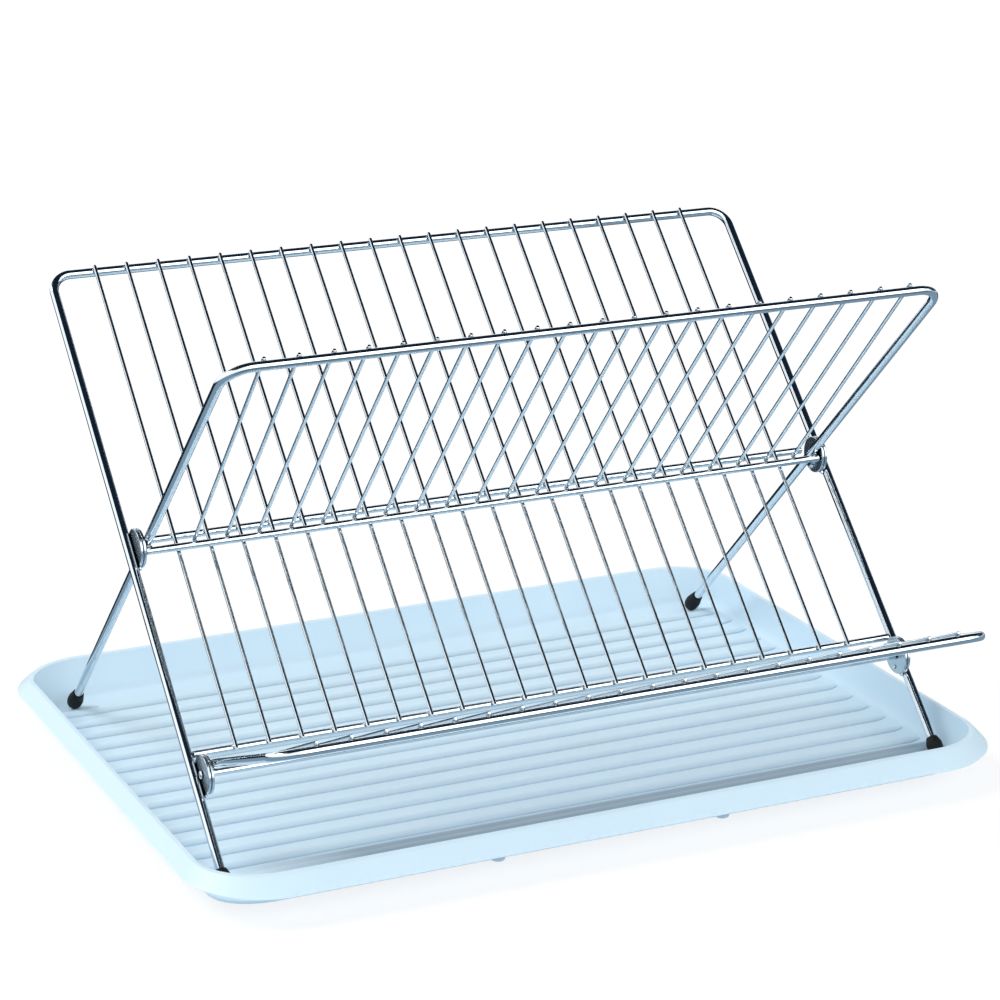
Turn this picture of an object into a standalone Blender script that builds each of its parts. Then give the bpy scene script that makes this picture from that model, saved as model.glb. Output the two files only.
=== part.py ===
"""Folding dish rack on a drip tray.

Two U-shaped wire racks cross like scissors at an upper pair of riveted disc hinges and make a V for
plates. A cup shelf swings on a lower pair of the same hinges. All four feet stand inside a ribbed tray.

X runs along the rack, Y from the front to the back, Z up. The origin is on the table, under the tray's
middle. Each rack is drawn upright in its own hinge frame (X along the hinge, Z along the legs) and the
hinge's empty gives it its lean. Lengths are in metres and angles in degrees.
"""

import math

import bmesh
import bpy
from mathutils import Vector

# Stock and the fits between pieces
LEG_WIRE = 0.0050
RAIL_WIRE = 0.0040
THIN_WIRE = 0.0020
GAP = 0.0003
WELD_DEPTH = 0.0004

# Rear rack, whose legs are the widest apart and stand on the front feet
LEG_SPACING = 0.4200
REAR_TOP = 0.1710
REAR_BEND = 0.0110
REAR_TIP = 0.0020
REAR_MID_RAIL = 0.0047
RAIL_ABOVE_SHELF_PIN = 0.0135
REAR_WIRE_TAIL = 0.0025
REAR_WIRE_SHIFT = -0.0030

# Front rack, whose legs run between the rear rack's legs to the back feet
FRONT_TOP = 0.1803
FRONT_BEND = 0.0150
FRONT_TIP = 0.0010
FRONT_RAIL_AHEAD = 0.0047
FRONT_WIRE_TOP_SHIFT = 0.0008
FRONT_WIRE_LOW_SHIFT = 0.0062

# Cup shelf
SHELF_DROP = 0.1320
SHELF_REACH = 0.1030
SHELF_BEND = 0.0140
SHELF_TIP = 0.0015
SHELF_HEEL = 0.0050

# Thin wires of the three grids, and the slot between the last one and the legs' axes
WIRES = 21
END_SLOT = 0.0280

# Lean of the racks and rise of the shelf
RACK_LEAN = 45.0
SHELF_RISE = 22.5

# Disc hinges, with their pins ahead of the rear rack's legs
UPPER_PIN_AHEAD = 0.0024
LOWER_PIN_AHEAD = 0.0054
DISC_RADIUS = 0.0105
DISC_PLATE = 0.0015
PIN_RADIUS = 0.0015
RIVET_HEAD_RADIUS = 0.0022
RIVET_HEAD_RISE = 0.0010
PIN_END_WALL = 0.0006
STUD_RADIUS = 0.0011
STUD_DISTANCE = 0.0068

# Rubber feet, each a ball on a sleeve that is pushed over the leg's end
FOOT_BALL_RADIUS = 0.0047
FOOT_BALL_RISE = 0.0044
FOOT_MOUTH_RADIUS = 0.0035
FOOT_SLEEVE = 0.0055
FOOT_LIP = 0.0006
LEVEL_CUT_DEPTH = 0.0300
PIVOT_RISE = 0.1385
PIVOT_BACK = 0.0070

# Drip tray
FLOOR_PAST_FEET_X = 0.0060
FLOOR_PAST_FEET_Y = 0.0110
RIM_SPREAD_X = 0.0178
RIM_SPREAD_Y = 0.0275
TRAY_CORNER = 0.0440
TRAY_DEPTH = 0.0194
TRAY_WALL = 0.0018
FLOOR_HEIGHT = 0.0050
RIBS = 15
RIBS_BEHIND_FRONT_FEET = 0.0146
RIBS_BEFORE_BACK_FEET = 0.0132
RIB_HALF_WIDTH = 0.0044
RIB_HEIGHT = 0.0019
RIB_TAPER = 0.0095
BUMP_HALF_LENGTH = 0.0042
BUMP_HALF_WIDTH = 0.0020
BUMP_HEIGHT = 0.0009
BUMP_BESIDE_FOOT = 0.0098
NUB_RADIUS = 0.0040
NUB_SINK = 0.0006
NUB_X = 0.0660
NUB_INSET = 0.0032
SIDE_NUB_INSET = 0.0150

# How the tray's section spreads and rises from the edge of its floor to the edge of its sloping rim
TRAY_SECTION_SHARES = (
    (0.000, 0.000),
    (0.060, 0.012),
    (0.130, 0.055),
    (0.200, 0.150),
    (0.265, 0.290),
    (0.455, 0.880),
    (0.475, 0.955),
    (0.500, 1.000),
    (0.620, 1.000),
    (0.652, 0.980),
    (0.960, 0.670),
    (1.000, 0.625),
)
# How a rib's end narrows: distance in from the tip and size, as shares of the taper and of the full rib
RIB_END_SHARES = ((0.00, 0.00), (0.06, 0.22), (0.22, 0.48), (0.50, 0.78), (1.00, 1.00))
# Rivet head's dome, as shares of its radius and rise
DOME_SHARES = ((0.00, 1.00), (0.50, 0.88), (0.85, 0.52), (1.00, 0.00))
# Nub's dome below the tray's floor, as shares of its radius and of its height above the table
NUB_SHARES = ((1.00, 1.00), (0.96, 0.70), (0.84, 0.36), (0.64, 0.10), (0.40, 0.00), (0.00, 0.00))

# Facets
TUBE_RESOLUTION = 4
BEND_STEPS = 7
WIRE_SIDES = 10
RAIL_SIDES = 14
DISC_SIDES = 32
PIN_SIDES = 16
FOOT_STEPS = 20
FOOT_BALL_TOP = 30.0
FOOT_BALL_STEP = 15.0
FOOT_BALL_STEPS = 7
CORNER_STEPS = 8
RIB_STEPS = 16
NUB_SIDES = 20
SHARP_ANGLE = math.radians(35)
MERGE_DISTANCE = 0.00001

# Sizes that follow from those above
LEG_RADIUS = LEG_WIRE / 2
RAIL_RADIUS = RAIL_WIRE / 2
THIN_RADIUS = THIN_WIRE / 2
REAR_HALF = LEG_SPACING / 2
OUTER_DISC_OUT = REAR_HALF - LEG_RADIUS + WELD_DEPTH
OUTER_DISC_IN = REAR_HALF - LEG_RADIUS - DISC_PLATE
INNER_DISC_OUT = OUTER_DISC_IN - GAP
INNER_DISC_IN = INNER_DISC_OUT - DISC_PLATE - WELD_DEPTH / 2
INNER_HALF = INNER_DISC_IN + WELD_DEPTH - LEG_RADIUS
WIRE_ON_LEG = LEG_RADIUS + THIN_RADIUS + GAP
WIRE_ON_RAIL = RAIL_RADIUS + THIN_RADIUS + GAP
RAIL_UNDER_LEG = LEG_RADIUS + RAIL_RADIUS + GAP
BETWEEN_LEGS = REAR_HALF - LEG_RADIUS - GAP
BETWEEN_INNER_DISCS = INNER_DISC_IN - GAP
BETWEEN_INNER_LEGS = INNER_HALF - LEG_RADIUS - DISC_PLATE / 2
FEET_HEIGHT = FLOOR_HEIGHT + GAP
PIVOT_HEIGHT = FEET_HEIGHT + PIVOT_RISE
PIN_HOLE_RADIUS = PIN_RADIUS + GAP
COVERED_PIN_TOP = OUTER_DISC_OUT - WELD_DEPTH - 2 * GAP
INNER_PLATES = (INNER_DISC_OUT, INNER_DISC_IN)
INNER_HOLES = (INNER_DISC_OUT + GAP, INNER_DISC_IN + PIN_END_WALL)
SHELF_PIN = (UPPER_PIN_AHEAD - LOWER_PIN_AHEAD, -SHELF_DROP)

WIRE_PITCH = (LEG_SPACING - 2 * END_SLOT) / (WIRES - 1)
REAR_LOWER_RAIL = SHELF_DROP - RAIL_ABOVE_SHELF_PIN

LEAN = math.radians(RACK_LEAN)
SHELF_TURN = math.radians(90.0 + RACK_LEAN - SHELF_RISE)

FEET_Y = PIVOT_RISE * math.tan(LEAN)
FLOOR_HALF_LENGTH = REAR_HALF + FLOOR_PAST_FEET_X
FLOOR_HALF_WIDTH = FEET_Y + FLOOR_PAST_FEET_Y
TRAY_HALF_LENGTH = FLOOR_HALF_LENGTH + RIM_SPREAD_X
TRAY_HALF_WIDTH = FLOOR_HALF_WIDTH + RIM_SPREAD_Y
FIRST_RIB = RIBS_BEHIND_FRONT_FEET - FEET_Y
RIB_PITCH = (FEET_Y - RIBS_BEFORE_BACK_FEET - FIRST_RIB) / (RIBS - 1)


def material(name, colour, roughness, metallic):
    made = bpy.data.materials.new(name)
    made.use_nodes = True
    shader = made.node_tree.nodes["Principled BSDF"]
    shader.inputs["Base Color"].default_value = (*colour, 1.0)
    shader.inputs["Roughness"].default_value = roughness
    shader.inputs["Metallic"].default_value = metallic
    made.diffuse_color = (*colour, 1.0)
    return made


def clear_scene():
    for obj in list(bpy.data.objects):
        bpy.data.objects.remove(obj, do_unlink=True)


def new_collection(name):
    made = bpy.data.collections.new(name)
    bpy.context.scene.collection.children.link(made)
    return made


def new_empty(name, location, turn, parent=None):
    made = bpy.data.objects.new(name, None)
    made.location = location
    made.rotation_euler = (turn, 0.0, 0.0)
    made.parent = parent
    parts.objects.link(made)
    return made


def take(mesh, name, paint, parent=None, collection=None):
    """A new object for a mesh, in the parts collection unless another is given."""
    made = bpy.data.objects.new(name, mesh)
    (collection or parts).objects.link(made)
    made.parent = parent
    if paint:
        mesh.materials.append(paint)
    return made


def smooth(mesh):
    mesh.shade_smooth()
    mesh.set_sharp_from_angle(angle=SHARP_ANGLE)


def cylinder_mesh(name, radius, length, sides):
    """A cylinder along Z, centred on the origin."""
    mesh = bpy.data.meshes.new(name)
    form = bmesh.new()
    bmesh.ops.create_cone(
        form, cap_ends=True, segments=sides, radius1=radius, radius2=radius, depth=length
    )
    form.to_mesh(mesh)
    form.free()
    smooth(mesh)
    return mesh


def rod(name, start, end, radius, sides, paint, parent):
    """A straight round bar between two points of its parent's frame."""
    run = Vector(end) - Vector(start)
    made = take(cylinder_mesh(name, radius, run.length, sides), name, paint, parent)
    made.location = (Vector(start) + Vector(end)) / 2
    made.rotation_euler = run.to_track_quat("Z", "Y").to_euler()
    return made


def turned(name, profile, steps, paint, parent=None, collection=None):
    """A body of revolution about Z. The profile holds radius and height pairs from the top down."""
    mesh = bpy.data.meshes.new(name)
    points = [(radius, 0.0, height) for radius, height in profile]
    mesh.from_pydata(points, [(i, i + 1) for i in range(len(points) - 1)], [])
    made = take(mesh, name, paint, parent, collection)
    screw = made.modifiers.new("turn", "SCREW")
    screw.steps = steps
    screw.render_steps = steps
    screw.use_merge_vertices = True
    screw.merge_threshold = MERGE_DISTANCE
    screw.use_smooth_shade = True
    return made


def settled(obj):
    """The object with its modifiers and its curve turned into a plain mesh with welded caps."""
    graph = bpy.context.evaluated_depsgraph_get()
    mesh = bpy.data.meshes.new_from_object(obj.evaluated_get(graph), depsgraph=graph)
    form = bmesh.new()
    form.from_mesh(mesh)
    bmesh.ops.remove_doubles(form, verts=form.verts, dist=MERGE_DISTANCE)
    form.to_mesh(mesh)
    form.free()
    name = obj.name
    place = obj.matrix_world.copy()
    home = obj.users_collection[0]
    bpy.data.objects.remove(obj, do_unlink=True)
    made = bpy.data.objects.new(name, mesh)
    home.objects.link(made)
    made.matrix_world = place
    return made


def as_cutter(obj):
    obj.hide_render = True
    obj.display_type = "WIRE"
    return obj


def boolean(obj, operation, other):
    step = obj.modifiers.new(operation.lower(), "BOOLEAN")
    step.operation = operation
    step.solver = "EXACT"
    step.object = as_cutter(other)


def disc(name, place, outer, inner, parent):
    """A hinge disc standing across X between two distances from the middle."""
    made = take(cylinder_mesh(name, DISC_RADIUS, outer - inner, DISC_SIDES), name, None, parent, cutters)
    made.rotation_euler = (0.0, math.radians(90), 0.0)
    made.location = (place[0] * (outer + inner) / 2, place[1], place[2])
    return made


def bead(name, place, radius, parent):
    mesh = bpy.data.meshes.new(name)
    form = bmesh.new()
    bmesh.ops.create_uvsphere(form, u_segments=12, v_segments=8, radius=radius)
    form.to_mesh(mesh)
    form.free()
    made = take(mesh, name, None, parent, cutters)
    made.location = place
    return made


def pin_hole(name, side, place, outer, inner, parent):
    mesh = cylinder_mesh(name, PIN_HOLE_RADIUS, outer - inner, PIN_SIDES)
    made = take(mesh, name, None, parent, cutters)
    made.rotation_euler = (0.0, math.radians(90), 0.0)
    made.location = (side * (outer + inner) / 2, place[0], place[1])
    return made


def u_frame(name, half, plane, foot, top, bend, parent):
    """A wire bent into a U: two legs along Z and a cross bar, with rounded corners."""
    points = [(-half, plane, foot)]
    for side, first in ((-1, 180.0), (1, 90.0)):
        for step in range(BEND_STEPS + 1):
            angle = math.radians(first - 90.0 * step / BEND_STEPS)
            across = side * (half - bend) + bend * math.cos(angle)
            points.append((across, plane, top - bend + bend * math.sin(angle)))
    points.append((half, plane, foot))
    curve = bpy.data.curves.new(name, "CURVE")
    curve.dimensions = "3D"
    curve.bevel_depth = LEG_RADIUS
    curve.bevel_resolution = TUBE_RESOLUTION
    curve.use_fill_caps = True
    spline = curve.splines.new("POLY")
    spline.points.add(len(points) - 1)
    for target, point in zip(spline.points, points):
        target.co = (*point, 1.0)
    made = bpy.data.objects.new(name, curve)
    parts.objects.link(made)
    made.parent = parent
    bpy.context.view_layer.update()
    made = settled(made)
    made.data.materials.append(chrome)
    smooth(made.data)
    return made


def hinge_plates(frame, at, plates, holes, turn, parent):
    """Welds a pair of discs onto a frame's legs, drills them, and adds a stud below a moving pin."""
    for side, word in ((-1, "left"), (1, "right")):
        label = f"{frame.name}_{word}_{len(frame.modifiers)}"
        boolean(frame, "UNION", disc(f"{label}_disc", (side, *at), *plates, parent))
        if turn is not None:
            away = (at[0] - STUD_DISTANCE * math.sin(turn), at[1] - STUD_DISTANCE * math.cos(turn))
            boolean(frame, "UNION", bead(f"{label}_stud", (side * plates[1], *away), STUD_RADIUS, parent))
        boolean(frame, "DIFFERENCE", pin_hole(f"{label}_hole", side, at, *holes, parent))


def rivets(name, at, headed, parent):
    """Pins through both discs of a pair of hinges, with a domed head where a leg doesn't cover them."""
    top = OUTER_DISC_OUT + GAP if headed else COVERED_PIN_TOP
    length = top - INNER_DISC_IN - PIN_END_WALL - GAP
    for side, word in ((-1, "left"), (1, "right")):
        profile = [(0.0, 0.0)]
        if headed:
            profile = [(RIVET_HEAD_RADIUS * out, RIVET_HEAD_RISE * up) for out, up in DOME_SHARES]
        profile += [(PIN_RADIUS, 0.0), (PIN_RADIUS, -length), (0.0, -length)]
        made = turned(f"{name}_{word}", profile, PIN_SIDES, chrome, parent)
        made.rotation_euler = (0.0, side * math.radians(90), 0.0)
        made.location = (side * top, *at)


def leg_end(plane):
    """Where a leg behind the hinge ends: at the middle of its foot's ball."""
    return -(PIVOT_RISE - FOOT_BALL_RISE - plane * math.sin(LEAN)) / math.cos(LEAN)


def feet(name, half, plane, parent):
    """Rubber caps pushed over the legs' ends and cut level where they stand."""
    ball = [math.radians(FOOT_BALL_TOP - FOOT_BALL_STEP * step) for step in range(FOOT_BALL_STEPS)]
    for side, word in ((-1, "left"), (1, "right")):
        profile = [
            (0.0, -GAP),
            (LEG_RADIUS + GAP, -GAP),
            (LEG_RADIUS + GAP, FOOT_SLEEVE),
            (FOOT_MOUTH_RADIUS - FOOT_LIP / 2, FOOT_SLEEVE),
            (FOOT_MOUTH_RADIUS, FOOT_SLEEVE - FOOT_LIP),
        ]
        profile += [(FOOT_BALL_RADIUS * math.cos(turn), FOOT_BALL_RADIUS * math.sin(turn)) for turn in ball]
        profile.append((0.0, -FOOT_BALL_RADIUS))
        made = turned(f"{name}_{word}", profile, FOOT_STEPS, rubber, parent)
        made.location = (side * half, plane, leg_end(plane))
        boolean(made, "DIFFERENCE", level_cutter)


def wire_places(shift):
    return [(i - (WIRES - 1) / 2) * WIRE_PITCH + shift for i in range(WIRES)]


def rear_rack(parent):
    """Legs, two cross rails and wires in front of them, with a disc hinge at the middle and one lower."""
    plane = UPPER_PIN_AHEAD
    frame = u_frame("rear_frame", REAR_HALF, plane, leg_end(plane), REAR_TOP, REAR_BEND, parent)
    plates = (OUTER_DISC_OUT, OUTER_DISC_IN)
    covered = (COVERED_PIN_TOP + GAP, OUTER_DISC_IN - GAP)
    through = (OUTER_DISC_OUT + GAP, OUTER_DISC_IN - GAP)
    hinge_plates(frame, (0.0, 0.0), plates, covered, None, parent)
    hinge_plates(frame, SHELF_PIN, plates, through, None, parent)
    wire_plane = plane - WIRE_ON_LEG
    rail_plane = wire_plane + WIRE_ON_RAIL
    for name, half, height in (
        ("rear_mid_rail", BETWEEN_INNER_LEGS, REAR_MID_RAIL),
        ("rear_lower_rail", BETWEEN_LEGS, -REAR_LOWER_RAIL),
    ):
        start = (-half, rail_plane, height)
        rod(name, start, (half, rail_plane, height), RAIL_RADIUS, RAIL_SIDES, chrome, parent)
    low = -REAR_LOWER_RAIL - REAR_WIRE_TAIL
    high = REAR_TOP + REAR_TIP
    for number, across in enumerate(wire_places(REAR_WIRE_SHIFT), 1):
        start = (across, wire_plane, low)
        end = (across, wire_plane, high)
        rod(f"rear_wire_{number:02d}", start, end, THIN_RADIUS, WIRE_SIDES, chrome, parent)
    feet("rear_rack_foot", REAR_HALF, plane, parent)


def front_rack(parent):
    """Legs, one rail welded across their front and wires from the rail to the top bar."""
    frame = u_frame("front_frame", INNER_HALF, 0.0, leg_end(0.0), FRONT_TOP, FRONT_BEND, parent)
    hinge_plates(frame, (0.0, 0.0), INNER_PLATES, INNER_HOLES, LEAN, parent)
    rail_plane = -RAIL_UNDER_LEG
    start = (-BETWEEN_INNER_DISCS, rail_plane, FRONT_RAIL_AHEAD)
    end = (BETWEEN_INNER_DISCS, rail_plane, FRONT_RAIL_AHEAD)
    rod("front_bottom_rail", start, end, RAIL_RADIUS, RAIL_SIDES, chrome, parent)
    low_places = wire_places(FRONT_WIRE_LOW_SHIFT)
    top_places = wire_places(FRONT_WIRE_TOP_SHIFT)
    for number, (low, top) in enumerate(zip(low_places, top_places), 1):
        start = (low, rail_plane + WIRE_ON_RAIL, FRONT_RAIL_AHEAD - THIN_RADIUS)
        end = (top, WIRE_ON_LEG, FRONT_TOP + FRONT_TIP)
        rod(f"front_wire_{number:02d}", start, end, THIN_RADIUS, WIRE_SIDES, chrome, parent)
    feet("front_rack_foot", INNER_HALF, 0.0, parent)


def cup_shelf(parent):
    """A shallow U with its arms over a rail on the hinge, and one welded grid of wires on top."""
    plane = RAIL_UNDER_LEG
    frame = u_frame("shelf_frame", INNER_HALF, plane, -SHELF_HEEL, SHELF_REACH, SHELF_BEND, parent)
    hinge_plates(frame, (0.0, 0.0), INNER_PLATES, INNER_HOLES, SHELF_TURN - LEAN, parent)
    ends = BETWEEN_INNER_DISCS
    rail = rod(
        "shelf_grid", (-ends, 0.0, 0.0), (ends, 0.0, 0.0), RAIL_RADIUS, RAIL_SIDES, chrome, parent
    )
    for number, across in enumerate(wire_places(0.0), 1):
        start = (across, WIRE_ON_RAIL - GAP - THIN_RADIUS / 2, -THIN_WIRE)
        end = (across, plane + WIRE_ON_LEG, SHELF_REACH + SHELF_TIP)
        wire = rod(f"shelf_wire_{number:02d}", start, end, THIN_RADIUS, WIRE_SIDES, None, parent)
        parts.objects.unlink(wire)
        cutters.objects.link(wire)
        boolean(rail, "UNION", wire)


def ring_points(half_x, half_y, height):
    """A rounded rectangle whose corners turn about the same four centres at every height."""
    centre_x = TRAY_HALF_LENGTH - TRAY_CORNER
    centre_y = TRAY_HALF_WIDTH - TRAY_CORNER
    points = []
    for quarter, (side_x, side_y) in enumerate(((1, 1), (-1, 1), (-1, -1), (1, -1))):
        for step in range(CORNER_STEPS + 1):
            angle = math.radians(90.0 * (quarter + step / CORNER_STEPS))
            x = side_x * centre_x + (half_x - centre_x) * math.cos(angle)
            y = side_y * centre_y + (half_y - centre_y) * math.sin(angle)
            points.append(Vector((x, y, height)))
    return points


def tray_shell():
    """The moulding as an open skin, drawn out ring by ring from its floor, then given its wall."""
    form = bmesh.new()
    inner = None
    for spread, rise in TRAY_SECTION_SHARES:
        half_x = FLOOR_HALF_LENGTH + spread * RIM_SPREAD_X
        half_y = FLOOR_HALF_WIDTH + spread * RIM_SPREAD_Y
        points = ring_points(half_x, half_y, FLOOR_HEIGHT + rise * TRAY_DEPTH)
        outer = [form.verts.new(point) for point in points]
        if inner is None:
            form.faces.new(outer)
        else:
            for i in range(len(outer)):
                form.faces.new((inner[i - 1], outer[i - 1], outer[i], inner[i]))
        inner = outer
    mesh = bpy.data.meshes.new("drip_tray")
    form.to_mesh(mesh)
    form.free()
    made = take(mesh, "drip_tray", plastic, middle)
    wall = made.modifiers.new("wall", "SOLIDIFY")
    wall.thickness = TRAY_WALL
    wall.offset = -1.0
    wall.use_even_offset = True
    return made


def ridge(name, half_length, half_width, height, taper, place):
    """A long low ridge with narrowed ends: a flattened spindle, half sunk in the tray's floor."""
    ends = [(size, half_length - taper * far) for far, size in RIB_END_SHARES]
    profile = [(half_width * size, up) for size, up in ends]
    profile += [(half_width * size, -up) for size, up in reversed(ends)]
    made = settled(turned(name, profile, RIB_STEPS, None, None, cutters))
    flatten = height / half_width
    for vert in made.data.vertices:
        vert.co = Vector((vert.co.z, vert.co.y, vert.co.x * flatten))
    made.data.flip_normals()
    made.parent = middle
    made.location = place
    return made


def tray():
    made = tray_shell()
    for number in range(RIBS):
        place = (0.0, FIRST_RIB + RIB_PITCH * number, FLOOR_HEIGHT)
        rib = ridge(
            f"rib_{number + 1:02d}", FLOOR_HALF_LENGTH, RIB_HALF_WIDTH, RIB_HEIGHT, RIB_TAPER, place
        )
        boolean(made, "UNION", rib)
    for side, word in ((-1, "left"), (1, "right")):
        place = (side * INNER_HALF + BUMP_BESIDE_FOOT, FEET_Y, FLOOR_HEIGHT)
        bump = ridge(
            f"bump_{word}", BUMP_HALF_LENGTH, BUMP_HALF_WIDTH, BUMP_HEIGHT, BUMP_HALF_LENGTH, place
        )
        boolean(made, "UNION", bump)
    nub_y = FLOOR_HALF_WIDTH - NUB_INSET
    side_nub_x = FLOOR_HALF_LENGTH - SIDE_NUB_INSET
    places = [(x, y) for x in (-NUB_X, NUB_X) for y in (-nub_y, nub_y)]
    places += [(-side_nub_x, 0.0), (side_nub_x, 0.0)]
    under = FLOOR_HEIGHT - TRAY_WALL
    for number, (x, y) in enumerate(places, 1):
        profile = [(0.0, under + NUB_SINK), (NUB_RADIUS, under + NUB_SINK)]
        profile += [(NUB_RADIUS * out, under * up) for out, up in NUB_SHARES]
        nub = turned(f"nub_{number}", profile, NUB_SIDES, None, middle, cutters)
        nub.location = (x, y, 0.0)
        boolean(made, "UNION", nub)
    return made


clear_scene()
parts = new_collection("folding_dish_rack")
cutters = new_collection("cutters")
chrome = material("chrome_plated_wire", (0.80, 0.83, 0.86), 0.14, 1.0)
rubber = material("black_rubber", (0.014, 0.015, 0.017), 0.62, 0.0)
plastic = material("pale_moulded_plastic", (0.78, 0.87, 0.93), 0.38, 0.0)

level_mesh = cylinder_mesh("level_cut", LEG_SPACING, LEVEL_CUT_DEPTH, 4)
level_cutter = take(level_mesh, "level_cut", None, None, cutters)
level_cutter.rotation_euler = (0.0, 0.0, math.radians(45))
level_cutter.location = (0.0, 0.0, FEET_HEIGHT - LEVEL_CUT_DEPTH / 2)

middle = new_empty("rack_middle", (0.0, PIVOT_BACK, 0.0), 0.0)
rack_pivot = new_empty("rack_pivot", (0.0, 0.0, PIVOT_HEIGHT), 0.0, middle)
rear_axis = new_empty("rear_rack_axis", (0.0, 0.0, 0.0), -LEAN, rack_pivot)
front_axis = new_empty("front_rack_axis", (0.0, 0.0, 0.0), LEAN, rack_pivot)
shelf_axis = new_empty("shelf_axis", (0.0, *SHELF_PIN), SHELF_TURN, rear_axis)
bpy.context.view_layer.update()

tray()
rivets("upper_rivet", (0.0, 0.0), False, rack_pivot)
rear_rack(rear_axis)
rivets("lower_rivet", SHELF_PIN, True, rear_axis)
front_rack(front_axis)
cup_shelf(shelf_axis)
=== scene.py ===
"""Looks of a folding dish rack: chrome-plated wire racks on rubber feet in a pale ribbed drip tray.

Every piece is drawn upright at its place in the rack's hinge frames, which the CAD source shares:
X along the hinges, Y to the back, Z up, in metres.
"""

import math

import bmesh
import bpy
from bpy.props import FloatProperty, FloatVectorProperty, PointerProperty, StringProperty
from mathutils import Matrix, Vector


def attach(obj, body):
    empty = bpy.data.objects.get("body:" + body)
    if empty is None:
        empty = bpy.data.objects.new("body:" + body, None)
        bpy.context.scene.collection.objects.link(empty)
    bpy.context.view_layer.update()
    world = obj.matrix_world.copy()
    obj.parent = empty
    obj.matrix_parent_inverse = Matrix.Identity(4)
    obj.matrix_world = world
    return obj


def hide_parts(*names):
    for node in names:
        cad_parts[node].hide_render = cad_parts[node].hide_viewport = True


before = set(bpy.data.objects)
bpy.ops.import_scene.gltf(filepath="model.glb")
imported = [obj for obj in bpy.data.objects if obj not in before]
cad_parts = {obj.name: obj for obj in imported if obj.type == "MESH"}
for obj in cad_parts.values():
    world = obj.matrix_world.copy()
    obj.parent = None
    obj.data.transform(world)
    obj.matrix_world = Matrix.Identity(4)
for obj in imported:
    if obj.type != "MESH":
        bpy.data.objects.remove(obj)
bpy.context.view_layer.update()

bl_info = {
    "name": "Folding Dish Rack",
    "version": (1, 0, 0),
    "blender": (4, 5, 0),
    "location": "View3D > Sidebar > Dish Rack",
    "description": "Builds a folding dish rack of chrome-plated wire on a ribbed drip tray",
    "category": "Add Mesh",
}

# Sizes that fix where the hinges are, as in the CAD source
GAP = 0.0003
PIVOT = Vector((0.0, 0.0070, 0.1438))
LEAN = math.radians(45.0)
SHELF_RISE = math.radians(22.5)
UPPER_PIN_AHEAD = 0.0024
LOWER_PIN_AHEAD = 0.0054
SHELF_DROP = 0.1320

# Frames
REAR_HALF = 0.2100
INNER_HALF = 0.2019
REAR_TOP = 0.1710
FRONT_TOP = 0.1803
SHELF_REACH = 0.1030
REAR_BEND = 0.0110
FRONT_BEND = 0.0150
SHELF_BEND = 0.0140
SHELF_HEEL = 0.0050
LEG_END_RISE = 0.0044
PIVOT_RISE = 0.1385
ROD_SIDES = 28
BEND_STEPS = 12

# Tray, whose section is drawn as shares of the rim's spread and depth, from just inside the floor's edge
RIM_SPREAD_X = 0.0178
RIM_SPREAD_Y = 0.0275
TRAY_CORNER = 0.0440
TRAY_DEPTH = 0.0194
TRAY_WALL = 0.0018
TRAY_FLOOR = 0.0050
TRAY_ROUNDING = 0.0004
CORNER_STEPS = 24
TRAY_SECTION = (
    (-0.060, 0.0), (0.0, 0.0), (0.030, 0.003), (0.060, 0.012), (0.095, 0.029), (0.130, 0.055),
    (0.165, 0.096), (0.200, 0.150), (0.233, 0.213), (0.265, 0.290), (0.300, 0.392), (0.440, 0.834),
    (0.455, 0.880), (0.467, 0.925), (0.479, 0.964), (0.490, 0.990), (0.503, 1.0), (0.612, 1.0),
    (0.624, 0.997), (0.636, 0.989), (0.652, 0.975), (0.960, 0.670), (0.983, 0.645), (1.0, 0.625),
)
FEET_Y = 0.1395
RIBS = 15
RIB_PITCH = 0.0178
FIRST_RIB = -0.1169
RIB_HALF_WIDTH = 0.0044
RIB_HEIGHT = 0.0019
RIB_TAPER = 0.0095
RIDGE_SINK = 0.0006
BUMP_HALF_LENGTH = 0.0042
BUMP_HALF_WIDTH = 0.0020
BUMP_HEIGHT = 0.0009
BUMP_BESIDE_LEG = 0.0098
NUB_RADIUS = 0.0040
NUB_ROUNDING = 0.0016
NUB_SINK = 0.0006
NUB_FROM_MIDDLE = 0.0660
NUB_INSET_X = 0.0150
NUB_INSET_Y = 0.0032
# How wide a ridge is at shares of its taper, from the tip inwards
RIDGE_ENDS = (
    (0.0, 0.03), (0.03, 0.13), (0.08, 0.26), (0.15, 0.39), (0.25, 0.53), (0.38, 0.67),
    (0.55, 0.81), (0.77, 0.94), (1.0, 1.0),
)

# Discs and rivets
DISC_RADIUS = 0.0105
DISC_PLATE = 0.0015
DISC_ROUNDING = 0.0004
OUTER_DISC_IN = 0.2060
INNER_DISC_IN = 0.2040
INNER_DISC_SHIFT = 0.0002
STUD_DISTANCE = 0.0068
STUD_RADIUS = 0.0011
RIVET_RADIUS = 0.0015
RIVET_DEPTH = 0.0009
RIVET_PROUD = 0.0004
RIVET_HEAD_RADIUS = 0.0022
RIVET_HEAD_SHIFT = 0.0002
RIVET_HEAD_SHAPE = (0.42, 1.0, 1.0)

# Weld nuggets, each with its radius and how far it is stretched along X, Y and Z
DISC_WELD = (0.0012, (0.9, 1.0, 1.5))
FRONT_RAIL_WELD = (0.0019, (1.3, 0.3, 1.0))
SHELF_RAIL_WELD = (0.0019, (1.0, 0.3, 1.3))
WIRE_WELD = (0.0011, (1.0, 0.45, 1.15))

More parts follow.
